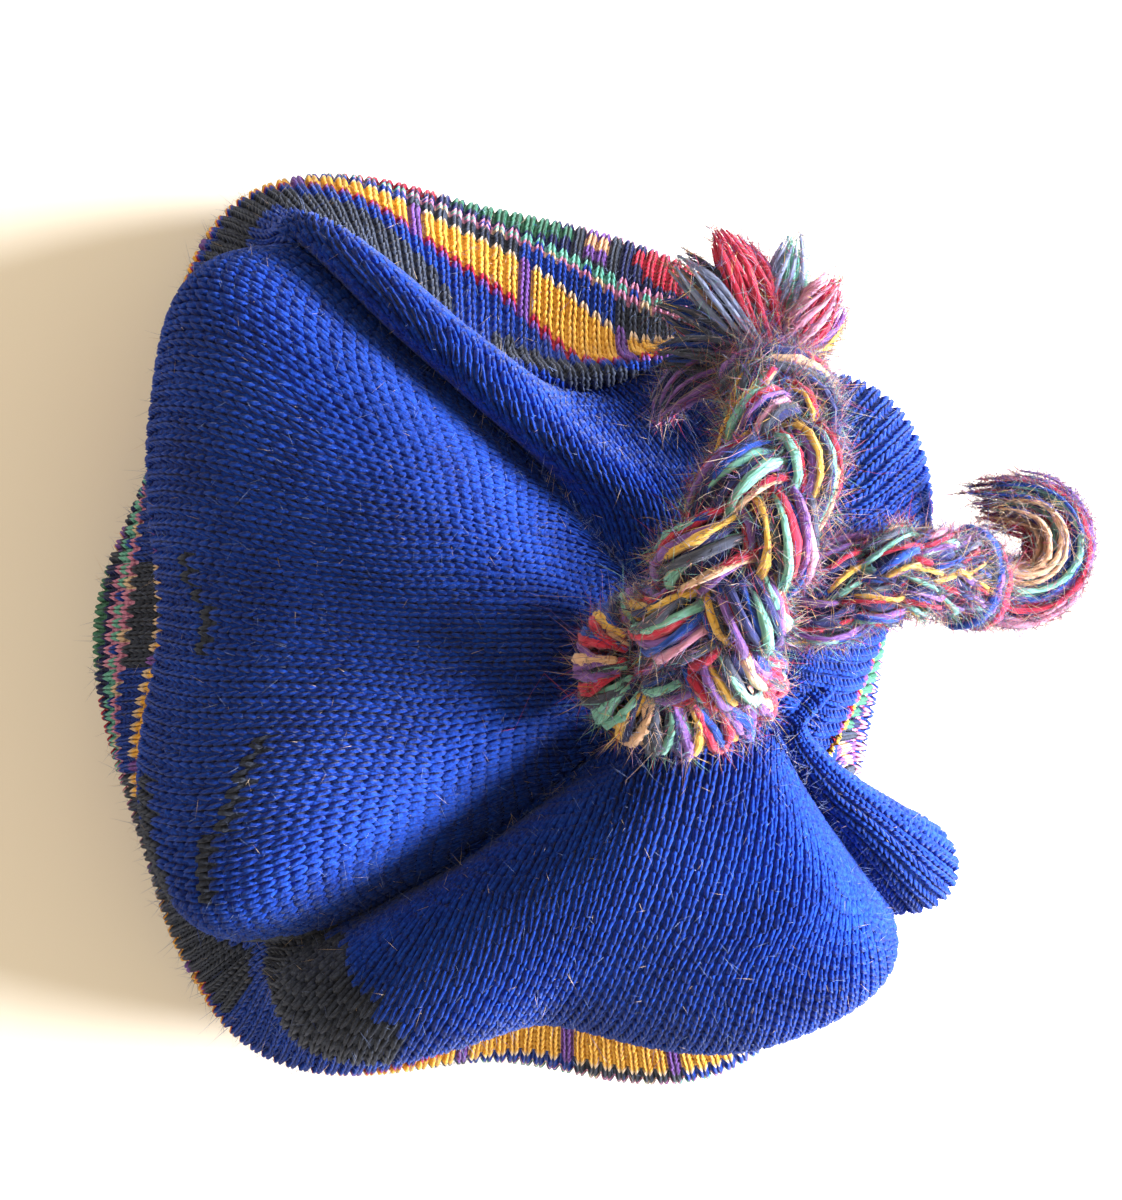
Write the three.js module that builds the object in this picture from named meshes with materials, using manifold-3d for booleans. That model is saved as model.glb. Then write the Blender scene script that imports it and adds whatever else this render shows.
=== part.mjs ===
// A knitted beanie standing on its rim, in millimetres with +Z up. The knit is one hollow wall,
// gathered at the crown into deep folds, and a topknot of two plaited tails grows from the gather.
import * as THREE from "three";
import { mergeVertices } from "three/addons/utils/BufferGeometryUtils.js";
import Module from "manifold-3d";

const manifold = await Module();
manifold.setup();
const { Manifold, Mesh: ManifoldMesh } = manifold;

// Driving sizes
const WALL = 2.6;
const GAP = 0.35;

// The plan of the hat by direction, in degrees from +X: how far the hem and the shoulder reach from
// the middle of their sections.
const PLAN = [
  { angle: 0, hem: 77, shoulder: 63 },
  { angle: 30, hem: 80, shoulder: 71 },
  { angle: 60, hem: 82, shoulder: 74 },
  { angle: 90, hem: 84.5, shoulder: 75 },
  { angle: 120, hem: 99, shoulder: 91 },
  { angle: 150, hem: 75, shoulder: 72 },
  { angle: 180, hem: 79, shoulder: 61 },
  { angle: 210, hem: 80.5, shoulder: 73 },
  { angle: 240, hem: 95.5, shoulder: 80.5 },
  { angle: 270, hem: 85, shoulder: 64 },
  { angle: 300, hem: 98, shoulder: 80.5 },
  { angle: 330, hem: 80, shoulder: 85.5 },
];

// The hat without its folds: level sections from the rim up to the gather. Each has its middle, its
// height, its size, the share of the shoulder's plan in its own, its fall towards +X, and the shares
// of the fold depth and of the swell of the faces that it takes.
const SECTIONS = [
  { name: "rim", x: 3, y: -1, z: 0, size: 0.955, crown: 0, fall: 0, fold: 0, soft: 0 },
  { name: "hem", x: 3, y: -1, z: 20, size: 1, crown: 0, fall: 0, fold: 0, soft: 0.05 },
  { name: "wall", x: 4, y: -1, z: 42, size: 0.99, crown: 0.2, fall: 0.02, fold: 0.05, soft: 0.3 },
  { name: "band", x: 7, y: 0, z: 62, size: 0.98, crown: 0.95, fall: 0.06, fold: 0.25, soft: 0.7 },
  { name: "shoulder", x: 11, y: 0, z: 80, size: 1, crown: 1, fall: 0.1, fold: 0.65, soft: 1 },
  { name: "turn", x: 15, y: -1, z: 93, size: 0.9, crown: 1, fall: 0.12, fold: 0.95, soft: 1 },
  { name: "outer_crown", x: 20, y: -2, z: 101, size: 0.725, crown: 1, fall: 0.12, fold: 1, soft: 0.95 },
  { name: "mid_crown", x: 26, y: -3, z: 104, size: 0.515, crown: 1, fall: 0.08, fold: 0.95, soft: 0.8 },
  { name: "inner_crown", x: 32, y: -3, z: 103, size: 0.3, crown: 1, fall: 0.04, fold: 0.75, soft: 0.35 },
  { name: "gather", x: 37, y: -4, z: 95, size: 0.105, crown: 1, fall: 0, fold: 0.15, soft: 0 },
];

// The folds, each with its direction, the depth of its valley, its width on either side and that of
// its rounded floor, how far the floor is drawn sideways, the height of the soft rolls beside it,
// the swell of the face up to the next fold, and a power below 1 where it is felt lower down.
const FOLDS = [
  {
    name: "right", angle: -16, depth: 32, before: 6, after: 7, floor: 10,
    lean: 0, rolls: 4, swell: 3, low: 0.4,
  },
  {
    name: "upper_right", angle: 43, depth: 15, before: 7, after: 8, floor: 1.5,
    lean: 0, rolls: 4, swell: -34, low: 1,
  },
  {
    name: "upper_left", angle: 127, depth: 25, before: 6, after: 6, floor: 1.5,
    lean: -6, rolls: 5, swell: 2, low: 1,
  },
  {
    name: "lower_left", angle: 230, depth: 25, before: 6, after: 6, floor: 1.5,
    lean: 6, rolls: 5, swell: 4, low: 1,
  },
  {
    name: "lower_right", angle: 321, depth: 8, before: 4, after: 4, floor: 1.5,
    lean: 0, rolls: 4, swell: 0, low: 1,
  },
];
const ROLL_DISTANCE = 14;
// On a narrow face, the most that a valley and a roll may take of its width
const VALLEY_SHARE = 0.2;
const ROLL_SHARE = 1 / 3;

// Grid of the knit wall
const STEPS_PER_DEGREE = 0.15;
const EXTRA_STEPS = 6;
const BUNCHING = 0.65;
const OUTER_ROWS = 20;
const INNER_ROWS = 12;
const INNER_TOP = 0.86;
const CEILING_DROP = 24;

// How far apart two points of a surface are, in degrees and in rise, to tell which way it faces
const NUDGE = { turn: 0.5, rise: 0.01 };
const WELD = 1e-4;
const TENSION = 0.5;

// The bundle of yarn pulled through the gather: how wide it is at each height above its seat.
const ROOT = { x: 37, y: -8, seat: 97.3, widthX: 17, widthY: 14.5, bunches: 9, ripple: 0.05, sides: 27 };
const ROOT_PROFILE = [
  { height: 0, width: 0.34 },
  { height: 6, width: 0.45 },
  { height: 11, width: 0.78 },
  { height: 16, width: 1 },
  { height: 21, width: 0.96 },
  { height: 25, width: 0.72 },
  { height: 27, width: 0.42 },
];

// A plait of three strands at its full width: a strand is thickest at the edges of the plait, and
// a higher power keeps it thin for longer in the middle.
const BRAID = { sway: 5.2, cross: 3.6, period: 26, thinnest: 1.4, thickest: 3.35, power: 3 };
const STRAND = { sides: 7, steps: 15 };

// The two plaits: the middle line, the direction across the flat of the plait, the
// size at the root and at the tie, and the locks of the tassel beyond the tie. A lock has a heading
// as it leaves the tie, a rise above the level, the bend of its heading by its tip, and a length.
const PLAITS = [
  {
    name: "a",
    route: [[37, -7, 118], [37.5, -3, 129], [40, 6, 139], [45, 17, 143], [49, 28, 139], [49, 39, 128]],
    across: [0.95, -0.3, 0],
    size: 1.45,
    tiedSize: 0.8,
    rootSpread: 2,
    locks: [
      { heading: 92, rise: -10, bend: 25, length: 19 },
      { heading: 112, rise: 5, bend: 10, length: 21 },
      { heading: 75, rise: -5, bend: 8, length: 19 },
      { heading: 124, rise: 0, bend: 18, length: 21 },
      { heading: 52, rise: 8, bend: 4, length: 15 },
      { heading: 146, rise: -5, bend: 14, length: 19 },
      { heading: 102, rise: -30, bend: 0, length: 18 },
      { heading: 24, rise: -8, bend: 30, length: 14 },
      { heading: 162, rise: -4, bend: 26, length: 18 },
      { heading: 62, rise: -32, bend: -10, length: 16 },
      { heading: 134, rise: -28, bend: 10, length: 18 },
      { heading: 172, rise: -16, bend: 62, length: 21 },
      { heading: 166, rise: -30, bend: 92, length: 23 },
    ],
  },
  {
    name: "b",
    route: [[51, 1, 113], [60, 5.5, 117], [69.5, 8.5, 116.5], [78, 8.5, 110.5], [85, 7.5, 101]],
    across: [0, 1, 0],
    size: 0.95,
    tiedSize: 0.68,
    rootSpread: 4,
    locks: [
      { heading: -45, rise: -4, bend: 226, length: 37 },
      { heading: -45, rise: -4, bend: 232, length: 34 },
      { heading: -45, rise: -4, bend: 220, length: 32 },
      { heading: -45, rise: -4, bend: 228, length: 36 },
      { heading: -45, rise: -4, bend: 234, length: 31 },
      { heading: -45, rise: -4, bend: 222, length: 35 },
    ],
  },
];

// The tie round the end of a plait, with room between it and the strands
const TIE = { length: 5.5, thick: 2, room: 1.05, sides: 18, rounds: 8 };

// The head of a tassel with the share of it that the roots of the locks stand at, then the locks:
// their radii, their steps, and the turn about the head from one root to the next.
const HEAD = { length: 6, rootShare: 0.75, sides: 12 };
const LOCK = { root: 2.3, tip: 3, sides: 6, step: 5.5, turn: 137.5 };

// Colours of the yarns, and how rough wool is
const COLOURS = {
  knit: 0x24399c,
  root: 0x8a4a6a,
  strands: [0xc03050, 0x50a090, 0xc8a040],
  tie: 0x6a5aa0,
  tassel: 0x9a5070,
};
const ROUGHNESS = 0.95;

const vector = (list) => new THREE.Vector3(...list);
const curveThrough = (points) => new THREE.CatmullRomCurve3(points, false, "catmullrom", TENSION);
const spine = curveThrough(SECTIONS.map((s) => new THREE.Vector3(s.x, s.y, s.z)));
const girth = curveThrough(SECTIONS.map((s) => new THREE.Vector3(s.size, s.crown, s.fall)));
const shares = curveThrough(SECTIONS.map((s) => new THREE.Vector3(s.fold, s.soft, 0)));
const planPoints = PLAN.map((row) => new THREE.Vector3(row.hem, row.shoulder, 0));
const plan = new THREE.CatmullRomCurve3(planPoints, true, "catmullrom", TENSION);

// Point of the unfolded hat at a turn about its middle, in degrees, and a rise from 0 to 1.
function smoothHat(turn, rise) {
  const angle = THREE.MathUtils.degToRad(turn);
  const middle = spine.getPoint(rise);
  const { x: size, y: crown, z: fall } = girth.getPoint(rise);
  const reach = plan.getPoint(THREE.MathUtils.euclideanModulo(turn, 360) / 360);
  const radius = size * THREE.MathUtils.lerp(reach.x, reach.y, crown);
  const x = radius * Math.cos(angle);
  const y = radius * Math.sin(angle);
  return new THREE.Vector3(middle.x + x, middle.y + y, middle.z - fall * x);
}

// Outward normal and sideways tangent of a surface at a turn and a rise, level at the rim.
function facing(surface, turn, rise) {
  const low = Math.max(rise - NUDGE.rise, 0);
  const high = Math.min(rise + NUDGE.rise, 1);
  const sideways = surface(turn + NUDGE.turn, rise).sub(surface(turn - NUDGE.turn, rise));
  const upward = surface(turn, high).sub(surface(turn, low));
  const tangent = sideways.clone().normalize();
  const normal = sideways.cross(upward);
  if (rise === 0) normal.setZ(0);
  return { normal: normal.normalize(), tangent };
}

// The folds on either side of a turn, and how far along the face between them it lies.
function faceAt(turn) {
  const first = FOLDS[0].angle;
  const wrapped = first + THREE.MathUtils.euclideanModulo(turn - first, 360);
  const index = FOLDS.findLastIndex((fold) => wrapped >= fold.angle);
  const start = FOLDS[index];
  const end = FOLDS[(index + 1) % FOLDS.length];
  const width = THREE.MathUtils.euclideanModulo(end.angle - start.angle, 360);
  return { start, end, width, along: (wrapped - start.angle) / width };
}

// Depth of a valley at a distance from its line, 1 on the line itself.
function valley(distance, width, floor) {
  const rounded = Math.hypot(distance, floor) - floor;
  return Math.exp(-rounded / width);
}

// Height of the soft roll that stands beside a valley.
function roll(distance, reach) {
  const ratio = distance / reach;
  return ratio * Math.exp(1 - ratio);
}

// Point of the outside of the knit.
function outside(turn, rise) {
  const point = smoothHat(turn, rise);
  const { normal, tangent } = facing(smoothHat, turn, rise);
  const middle = spine.getPoint(rise);
  const radius = Math.hypot(point.x - middle.x, point.y - middle.y);
  const share = shares.getPoint(rise);
  const { start, end, width, along } = faceAt(turn);
  const arc = THREE.MathUtils.degToRad(width) * radius;
  const fromStart = valley(along * arc, Math.min(start.after, arc * VALLEY_SHARE), start.floor);
  const fromEnd = valley((1 - along) * arc, Math.min(end.before, arc * VALLEY_SHARE), end.floor);
  const reach = Math.min(ROLL_DISTANCE, arc * ROLL_SHARE);
  const rolls = start.rolls * roll(along * arc, reach) + end.rolls * roll((1 - along) * arc, reach);
  const room = reach / ROLL_DISTANCE;
  const swell = start.swell * Math.sin(Math.PI * along);
  const startShare = Math.pow(Math.max(share.x, 0), start.low);
  const endShare = Math.pow(Math.max(share.x, 0), end.low);
  const sunk = start.depth * startShare * fromStart + end.depth * endShare * fromEnd;
  const drawn = start.lean * fromStart * fromStart + end.lean * fromEnd * fromEnd;
  point.addScaledVector(normal, share.x * room * rolls - sunk + share.y * swell);
  return point.addScaledVector(tangent, share.x * drawn);
}

// Point of the inside of the knit, one wall thickness in.
function inside(turn, rise) {
  const point = outside(turn, rise);
  const { normal } = facing(outside, turn, rise);
  return point.addScaledVector(normal, -WALL);
}

// Turns of the grid, closer together beside the folds.
function gridTurns() {
  const turns = [];
  for (const [index, start] of FOLDS.entries()) {
    const end = FOLDS[(index + 1) % FOLDS.length];
    const width = THREE.MathUtils.euclideanModulo(end.angle - start.angle, 360);
    const steps = EXTRA_STEPS + 2 * Math.round(width * STEPS_PER_DEGREE / 2);
    for (let step = 0; step < steps; step++) {
      const even = step / steps;
      const bunched = (1 - Math.cos(Math.PI * even)) / 2;
      turns.push(start.angle + width * THREE.MathUtils.lerp(even, bunched, BUNCHING));
    }
  }
  return turns;
}

function mesh(name, geometry, color) {
  const material = new THREE.MeshStandardMaterial({ color, metalness: 0, roughness: ROUGHNESS });
  const part = new THREE.Mesh(geometry, material);
  part.name = name;
  return part;
}

// Closed geometry from rings of points, each joined to the next, and the end rings to a point.
function ringsToGeometry(rings, startPoint, endPoint) {
  const count = rings[0].length;
  const points = [startPoint, ...rings.flat(), endPoint];
  const faces = [];
  const at = (row, column) => 1 + row * count + (column % count);
  for (let column = 0; column < count; column++) {
    faces.push(0, at(0, column + 1), at(0, column));
    faces.push(points.length - 1, at(rings.length - 1, column), at(rings.length - 1, column + 1));
    for (let row = 0; row < rings.length - 1; row++) {
      const near = [at(row, column), at(row, column + 1)];
      const far = [at(row + 1, column), at(row + 1, column + 1)];
      faces.push(near[0], near[1], far[1], near[0], far[1], far[0]);
    }
  }
  const geometry = new THREE.BufferGeometry();
  const numbers = points.flatMap((point) => point.toArray());
  geometry.setAttribute("position", new THREE.Float32BufferAttribute(numbers, 3));
  geometry.setIndex(faces);
  return geometry;
}

// The knit: its rings run from the ceiling inside, down the hollow, over the flat rim and up the
// outside to the gather.
function knitShell() {
  const turns = gridTurns();
  const rings = [];
  for (let row = INNER_ROWS; row >= 0; row--) {
    const rise = INNER_TOP * row / INNER_ROWS;
    rings.push(turns.map((turn) => inside(turn, rise)));
  }
  for (let row = 0; row <= OUTER_ROWS; row++) {
    rings.push(turns.map((turn) => outside(turn, row / OUTER_ROWS)));
  }
  const ceiling = spine.getPoint(INNER_TOP);
  ceiling.z -= CEILING_DROP;
  return ringsToGeometry(rings, ceiling, spine.getPoint(1));
}

function toManifold(geometry) {
  const bare = new THREE.BufferGeometry();
  bare.setAttribute("position", geometry.getAttribute("position"));
  bare.setIndex(geometry.getIndex());
  const welded = mergeVertices(bare, WELD);
  const vertProperties = new Float32Array(welded.getAttribute("position").array);
  const triVerts = new Uint32Array(welded.getIndex().array);
  const shape = new ManifoldMesh({ numProp: 3, vertProperties, triVerts });
  shape.merge();
  return new Manifold(shape);
}

function fromManifold(solid) {
  const { vertProperties, triVerts, numProp } = solid.getMesh();
  const geometry = new THREE.BufferGeometry();
  const numbers = [];
  for (let index = 0; index < vertProperties.length; index += numProp) {
    numbers.push(...vertProperties.slice(index, index + 3));
  }
  geometry.setAttribute("position", new THREE.Float32BufferAttribute(numbers, 3));
  geometry.setIndex([...triVerts]);
  return geometry;
}

// What is left of a solid on the side of a plane that a direction points to.
function cutOff(solid, point, direction, shift) {
  return solid.trimByPlane(direction.toArray(), point.dot(direction) + shift);
}

// The bundle of yarn on the gather, with a flat seat for the start of each plait
function topknotRoot(braids) {
  const rings = ROOT_PROFILE.map(({ height, width }) => {
    const ring = [];
    for (let side = 0; side < ROOT.sides; side++) {
      const angle = 2 * Math.PI * side / ROOT.sides;
      const bunch = width * (1 + ROOT.ripple * Math.cos(ROOT.bunches * angle));
      const x = ROOT.x + ROOT.widthX * bunch * Math.cos(angle);
      const y = ROOT.y + ROOT.widthY * bunch * Math.sin(angle);
      ring.push(new THREE.Vector3(x, y, ROOT.seat + height));
    }
    return ring;
  });
  const top = ROOT.seat + ROOT_PROFILE.at(-1).height;
  const foot = new THREE.Vector3(ROOT.x, ROOT.y, ROOT.seat);
  let solid = toManifold(ringsToGeometry(rings, foot, new THREE.Vector3(ROOT.x, ROOT.y, top)));
  for (const { start } of braids) {
    solid = cutOff(solid, start.middle, start.ahead.clone().negate(), GAP);
  }
  return fromManifold(solid);
}

// Ring of points about a middle, across two directions.
function ringAbout(middle, first, second, radius, sides) {
  const ring = [];
  for (let side = 0; side < sides; side++) {
    const angle = 2 * Math.PI * side / sides;
    const point = middle.clone().addScaledVector(first, radius * Math.cos(angle));
    ring.push(point.addScaledVector(second, radius * Math.sin(angle)));
  }
  return ring;
}

// Closed tube through middles with a radius at each, its sides squared up to a fixed direction.
function taperedTube(middles, radii, upright, sides) {
  const rings = middles.map((middle, index) => {
    const before = middles[Math.max(index - 1, 0)];
    const after = middles[Math.min(index + 1, middles.length - 1)];
    const ahead = after.clone().sub(before).normalize();
    const first = upright[index].clone().projectOnPlane(ahead).normalize();
    const second = ahead.clone().cross(first);
    return ringAbout(middle, first, second, radii[index], sides);
  });
  return ringsToGeometry(rings, middles[0], middles.at(-1));
}

// Places along a plait, and one step past either end: middle, directions and size, with the
// crossings closer where it is slim.
function plaitPlaces(plait) {
  const route = curveThrough(plait.route.map(vector));
  const length = route.getLength();
  const count = Math.ceil(length / (BRAID.period * plait.size) * STRAND.steps);
  const places = [];
  let phase = 0;
  for (let step = -1; step <= count + 1; step++) {
    const along = THREE.MathUtils.clamp(step / count, 0, 1);
    const beyond = (step / count - along) * length;
    const size = plait.size + (plait.tiedSize - plait.size) * Math.pow(along, 2);
    const ahead = route.getTangentAt(along);
    const middle = route.getPointAt(along).addScaledVector(ahead, beyond);
    const across = vector(plait.across).projectOnPlane(ahead).normalize();
    const depth = ahead.clone().cross(across);
    places.push({ middle, ahead, across, depth, size, phase });
    phase += 2 * Math.PI * (length / count) / (BRAID.period * size);
  }
  return { places, start: places[1], end: places.at(-2) };
}

// One strand of a plait: it sways from side to side, crossing over and under on the way, and is
// cut off flat at both ends.
function strand({ places, start, end }, order) {
  const middles = [];
  const radii = [];
  for (const { middle, across, depth, size, phase } of places) {
    const angle = phase + 2 * Math.PI * order / COLOURS.strands.length;
    const side = BRAID.sway * size * Math.sin(angle);
    const over = BRAID.cross * size * Math.sin(2 * angle);
    const edge = Math.pow(Math.abs(Math.sin(angle)), BRAID.power);
    middles.push(middle.clone().addScaledVector(across, side).addScaledVector(depth, over));
    radii.push(size * (BRAID.thinnest + (BRAID.thickest - BRAID.thinnest) * edge));
  }
  const whole = taperedTube(middles, radii, places.map((place) => place.depth), STRAND.sides);
  const solid = cutOff(toManifold(whole), start.middle, start.ahead, 0);
  return fromManifold(cutOff(solid, end.middle, end.ahead.clone().negate(), 0));
}

// Turns geometry whose axis is +Z to lie along a place of a plait.
function alongPlace(geometry, { middle, ahead, across, depth }, shift) {
  const turned = new THREE.Matrix4().makeBasis(across, depth, ahead);
  turned.setPosition(middle.clone().addScaledVector(ahead, shift));
  return geometry.applyMatrix4(turned);
}

// The yarn wrapped round the end of a plait: an oval ring, clear of the strands inside it.
function tie({ end }) {
  const inner = end.size * (BRAID.sway + BRAID.thickest) + TIE.room;
  const flat = (BRAID.cross + BRAID.thickest) / (BRAID.sway + BRAID.thickest);
  const geometry = new THREE.TorusGeometry(inner + TIE.thick / 2, TIE.thick / 2, TIE.rounds, TIE.sides);
  geometry.scale(1, flat, TIE.length / TIE.thick);
  return alongPlace(geometry, end, -TIE.length / 2);
}

// One lock of loose ends: an arc that leaves its root along the heading and bends to its tip.
function lock(root, { heading, rise, bend, length }, aside, above) {
  const steps = Math.ceil(length / LOCK.step);
  const climb = THREE.MathUtils.degToRad(rise);
  const line = root.clone();
  const middles = [];
  const radii = [];
  for (let step = 0; step <= steps; step++) {
    const along = step / steps;
    const way = THREE.MathUtils.degToRad(heading + bend * along);
    const sideways = new THREE.Vector3(-Math.sin(way), Math.cos(way), 0);
    const middle = line.clone().addScaledVector(sideways, aside);
    middle.z += above;
    middles.push(middle);
    radii.push(THREE.MathUtils.lerp(LOCK.root, LOCK.tip, along));
    const next = THREE.MathUtils.degToRad(heading + bend * (step + 0.5) / steps);
    const forward = new THREE.Vector3(Math.cos(next), Math.sin(next), Math.tan(climb)).normalize();
    line.addScaledVector(forward, length / steps);
  }
  const upright = new THREE.Vector3(0, 0, 1);
  return taperedTube(middles, radii, middles.map(() => upright), LOCK.sides);
}

// The loose ends: locks whose roots are scattered over a head that meets the tied strands.
function tassel({ locks, rootSpread }, { end }) {
  const headWidth = end.size * (BRAID.cross + BRAID.thickest);
  const head = new THREE.CylinderGeometry(headWidth, headWidth, HEAD.length, HEAD.sides);
  head.rotateX(Math.PI / 2);
  alongPlace(head, end, GAP + HEAD.length / 2);
  const root = end.middle.clone().addScaledVector(end.ahead, GAP + HEAD.length * HEAD.rootShare);
  let solid = toManifold(head);
  for (const [order, row] of locks.entries()) {
    const turn = THREE.MathUtils.degToRad(LOCK.turn * order);
    const out = rootSpread * Math.sqrt(order / locks.length);
    solid = solid.add(toManifold(lock(root, row, out * Math.cos(turn), out * Math.sin(turn))));
  }
  return fromManifold(solid);
}

const hat = new THREE.Group();
hat.add(mesh("knit_shell", knitShell(), COLOURS.knit));
const braids = PLAITS.map(plaitPlaces);
hat.add(mesh("topknot_root", topknotRoot(braids), COLOURS.root));
for (const [index, plait] of PLAITS.entries()) {
  for (const [order, colour] of COLOURS.strands.entries()) {
    hat.add(mesh(`plait_${plait.name}_strand_${order + 1}`, strand(braids[index], order), colour));
  }
  hat.add(mesh(`tie_${plait.name}`, tie(braids[index]), COLOURS.tie));
  hat.add(mesh(`tassel_${plait.name}`, tassel(plait, braids[index]), COLOURS.tassel));
}

// The origin is under the middle of the whole, on the plane of the rim.
const box = new THREE.Box3().setFromObject(hat);
const centre = box.getCenter(new THREE.Vector3());
hat.position.set(-centre.x, -centre.y, -box.min.z);

export default hat;
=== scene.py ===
import math

import bpy
import numpy as np
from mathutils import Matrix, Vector


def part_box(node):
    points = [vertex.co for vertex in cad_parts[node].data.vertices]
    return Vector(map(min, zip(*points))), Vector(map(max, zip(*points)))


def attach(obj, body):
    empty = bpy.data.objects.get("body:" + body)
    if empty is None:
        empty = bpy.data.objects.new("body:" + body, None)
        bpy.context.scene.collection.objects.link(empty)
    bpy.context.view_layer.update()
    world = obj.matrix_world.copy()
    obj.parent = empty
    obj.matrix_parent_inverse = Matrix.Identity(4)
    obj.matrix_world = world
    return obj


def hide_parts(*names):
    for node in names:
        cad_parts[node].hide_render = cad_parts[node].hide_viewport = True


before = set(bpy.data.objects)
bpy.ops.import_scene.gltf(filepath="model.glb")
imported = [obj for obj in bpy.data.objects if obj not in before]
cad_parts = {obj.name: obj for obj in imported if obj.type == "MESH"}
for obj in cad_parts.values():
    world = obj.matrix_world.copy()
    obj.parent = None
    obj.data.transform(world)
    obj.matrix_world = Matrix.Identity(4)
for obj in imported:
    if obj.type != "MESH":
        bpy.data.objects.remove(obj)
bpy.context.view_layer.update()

# Lengths are millimetres and angles degrees, in the same tables as the part's own source.
METRES = 0.001
WALL = 2.6
INNER_TOP = 0.86
CEILING_DROP = 24

# A fold's valley and the roll beside it reach no further than these parts of a face.
ROLL_DISTANCE = 14
VALLEY_PARTS = 5
ROLL_PARTS = 3

# How far a place is moved each way to find how the surface slopes there.
NUDGE = {"turn": 0.5, "rise": 0.01}

# The plan of the hat by direction: how far the hem and the shoulder reach from the middle, and how
# many courses the knitted bands ride up there.
PLAN_COLUMNS = ("angle", "hem", "shoulder", "lift")
PLAN = (
    (0, 77, 63, 10),
    (30, 80, 71, 3),
    (60, 82, 74, 8),
    (90, 84.5, 75, -10.5),
    (120, 99, 91, -20),
    (150, 75, 72, 0),
    (180, 79, 61, 5),
    (210, 80.5, 73, -6),
    (240, 95.5, 80.5, -21),
    (270, 85, 64, -8),
    (300, 98, 80.5, -6),
    (330, 80, 85.5, 6),
)

# Level sections of the hat: middle, height, size, share of the shoulder's plan, fall towards +X,
# and shares of the folds and of the swells.
SECTION_COLUMNS = ("x", "y", "z", "size", "crown", "fall", "fold", "soft")
SECTIONS = {
    "rim": (3, -1, 0, 0.955, 0, 0, 0, 0),
    "hem": (3, -1, 20, 1, 0, 0, 0, 0.05),
    "wall": (4, -1, 42, 0.99, 0.2, 0.02, 0.05, 0.3),
    "band": (7, 0, 62, 0.98, 0.95, 0.06, 0.25, 0.7),
    "shoulder": (11, 0, 80, 1, 1, 0.1, 0.65, 1),
    "turn": (15, -1, 93, 0.9, 1, 0.12, 0.95, 1),
    "outer_crown": (20, -2, 101, 0.725, 1, 0.12, 1, 0.95),
    "mid_crown": (26, -3, 104, 0.515, 1, 0.08, 0.95, 0.8),
    "inner_crown": (32, -3, 103, 0.3, 1, 0.04, 0.75, 0.35),
    "gather": (37, -4, 95, 0.105, 1, 0, 0.15, 0),
}

# Folds: direction, depth, width on either side and of the floor, lean, the rolls beside it, the swell
# of the face after it, and a power below 1 where the fold is felt lower down the wall.
FOLD_COLUMNS = ("angle", "depth", "before", "after", "floor", "lean", "rolls", "swell", "low")
FOLDS = {
    "right": (-16, 32, 6, 7, 10, 0, 4, 3, 0.4),
    "upper_right": (43, 15, 7, 8, 1.5, 0, 4, -34, 1),
    "upper_left": (127, 25, 6, 6, 1.5, -6, 5, 2, 1),
    "lower_left": (230, 25, 6, 6, 1.5, 6, 5, 4, 1),
    "lower_right": (321, 8, 4, 4, 1.5, 0, 4, 0, 1),
}

ROOT = {"x": 37, "y": -8, "seat": 97.3, "width_x": 17, "width_y": 14.5}
ROOT_BUNCHES = 9
ROOT_RIPPLE = 0.05
ROOT_SIDES = 27
ROOT_PROFILE = ((0, 0.34), (6, 0.45), (11, 0.78), (16, 1), (21, 0.96), (25, 0.72), (27, 0.42))

# Plaits: a route, the way across, sizes, the yarns of the tie, and the tassel's locks. A lock has its
# heading, rise, bend, length and yarns. Draw narrows the locks to their tips, fill widens them, inward
# moves them into their bend, and past is the length of the loose ends beyond them.
BRAID = {"sway": 5.2, "cross": 3.6, "period": 26, "thickest": 3.35}
PLAITS = {
    "a": {
        "route": (
            (37, -7, 118), (37.5, -3, 129), (40, 6, 139), (45, 17, 143), (49, 28, 139), (49, 39, 128),
        ),
        "across": (0.95, -0.3, 0),
        "size": 1.45, "tied_size": 0.8, "tie": "knanpkcn", "root_spread": 2,
        "draw": 0.66, "fill": 1.28, "inward": 0, "past": 0,
        "locks": (
            (92, -10, 25, 19, "mvc"), (112, 5, 10, 21, "cmc"),
            (75, -5, 8, 19, "tth"), (124, 0, 18, 21, "kah"),
            (52, 8, 4, 15, "cmv"), (146, -5, 14, 19, "bnk"),
            (102, -30, 0, 18, "ppb"), (24, -8, 30, 14, "ypp"),
            (162, -4, 26, 18, "bnk"), (62, -32, -10, 16, "nkp"),
            (134, -28, 10, 18, "bnk"), (172, -16, 62, 21, "nkp"),
            (166, -30, 92, 23, "pcn"),
        ),
    },
    "b": {
        "route": ((51, 1, 113), (60, 5.5, 117), (69.5, 8.5, 116.5), (78, 8.5, 110.5), (85, 7.5, 101)),
        "across": (0, 1, 0),
        "size": 0.95, "tied_size": 0.68, "tie": "kbpnkc", "root_spread": 4,
        "draw": 0.42, "fill": 1.3, "inward": 1.8, "past": 6,
        "locks": (
            (-45, -4, 226, 37, "pvb"), (-45, -4, 232, 34, "cvb"),
            (-45, -4, 220, 32, "pcv"), (-45, -4, 228, 36, "tpa"),
            (-45, -4, 234, 31, "vpn"), (-45, -4, 222, 35, "kbc"),
        ),
    },
}

# The knitting: wales run up the hat from rim to gather, and courses run round it.
WALES = 208
WALE_PITCH = 2.45
COURSE_PITCH = 1.85
GRID_PER_WALE = 4
GRID_PER_COURSE = 2

# Rises that are measured. A fourth of the way up wales are shared out, and a third up their way is read.
RISE_SAMPLES = 121
SHARING_PART = 4
READING_PART = 3

# Places along a face, how firmly and sharply wales pack there, and the spare cloth where it is full.
PACKING = {"places": 97, "keep": 0.9, "sharp": 10, "full": 0.3}

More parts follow.
